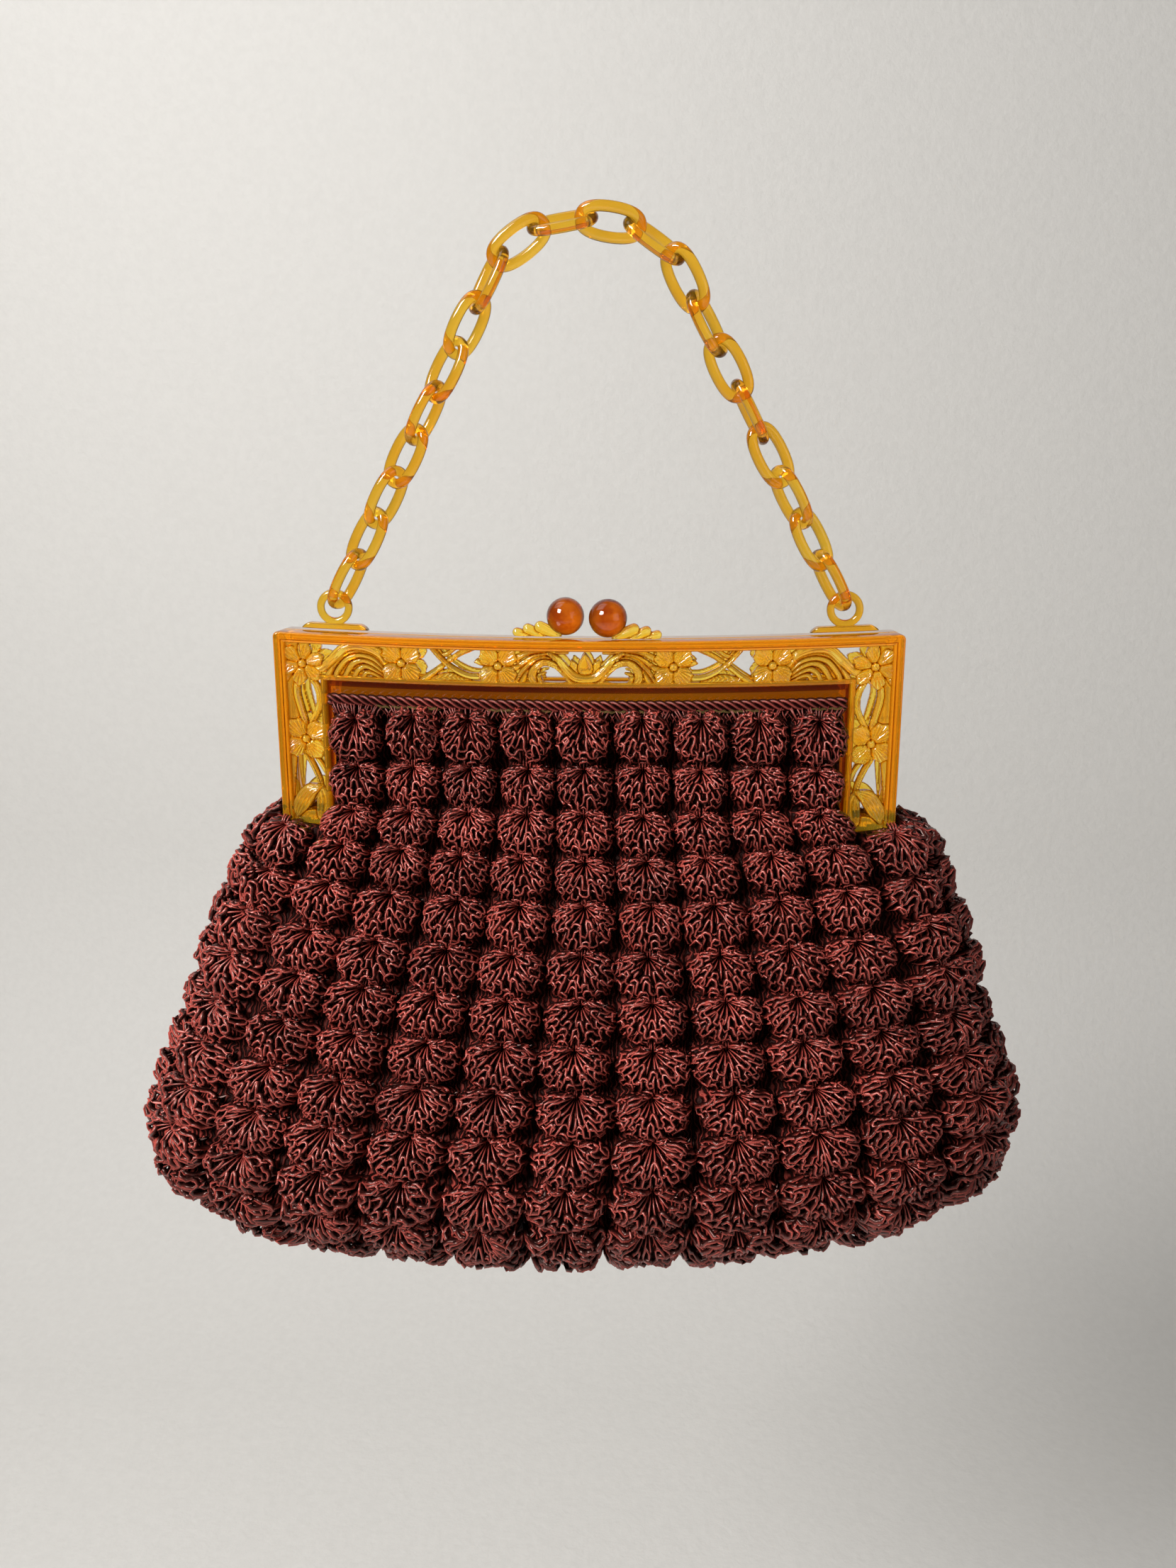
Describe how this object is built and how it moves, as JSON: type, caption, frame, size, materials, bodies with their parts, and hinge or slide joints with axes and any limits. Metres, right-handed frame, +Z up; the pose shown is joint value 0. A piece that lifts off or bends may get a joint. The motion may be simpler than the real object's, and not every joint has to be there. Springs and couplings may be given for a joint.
{
  "type": "crochet purse",
  "caption": "Closed evening purse: gathered pouch of raised crochet bobbles sewn into a pierced amber plastic frame with a ball clasp, hanging from an oval link chain handle",
  "frame": {"origin": "The middle of the chain, at the point between its two middle links where a hand holds it up.", "axes": "Z runs straight up, from the pouch to the hand. Y runs from the front to the back, so the front face looks along -Y. X runs along the frame to the right as seen from the front."},
  "size_m": [0.2363, 0.0818, 0.2737],
  "materials": {
    "amber_plastic": "clear glossy amber, yellow where thin",
    "knob_amber": "deep orange amber, polished",
    "crochet_cord": "shiny dark wine red cord, crocheted",
    "pin_metal": "dull old brass"
  },
  "bodies": {
    "root": {"frame_front": "amber_plastic", "frame_back": "amber_plastic", "clasp_knob_front": "knob_amber", "clasp_knob_back": "knob_amber", "ring_left": "amber_plastic", "ring_right": "amber_plastic", "hinge_pin_left": "pin_metal", "hinge_pin_right": "pin_metal", "link_01": "amber_plastic", "link_02": "amber_plastic", "link_03": "amber_plastic", "link_04": "amber_plastic", "link_05": "amber_plastic", "link_06": "amber_plastic", "link_07": "amber_plastic", "link_08": "amber_plastic", "link_09": "amber_plastic", "link_10": "amber_plastic", "link_11": "amber_plastic", "link_12": "amber_plastic", "link_13": "amber_plastic", "link_14": "amber_plastic", "link_15": "amber_plastic", "link_16": "amber_plastic", "link_17": "amber_plastic", "link_18": "amber_plastic", "link_19": "amber_plastic", "link_20": "amber_plastic", "pouch": "crochet_cord"}
  },
  "joints": []
}
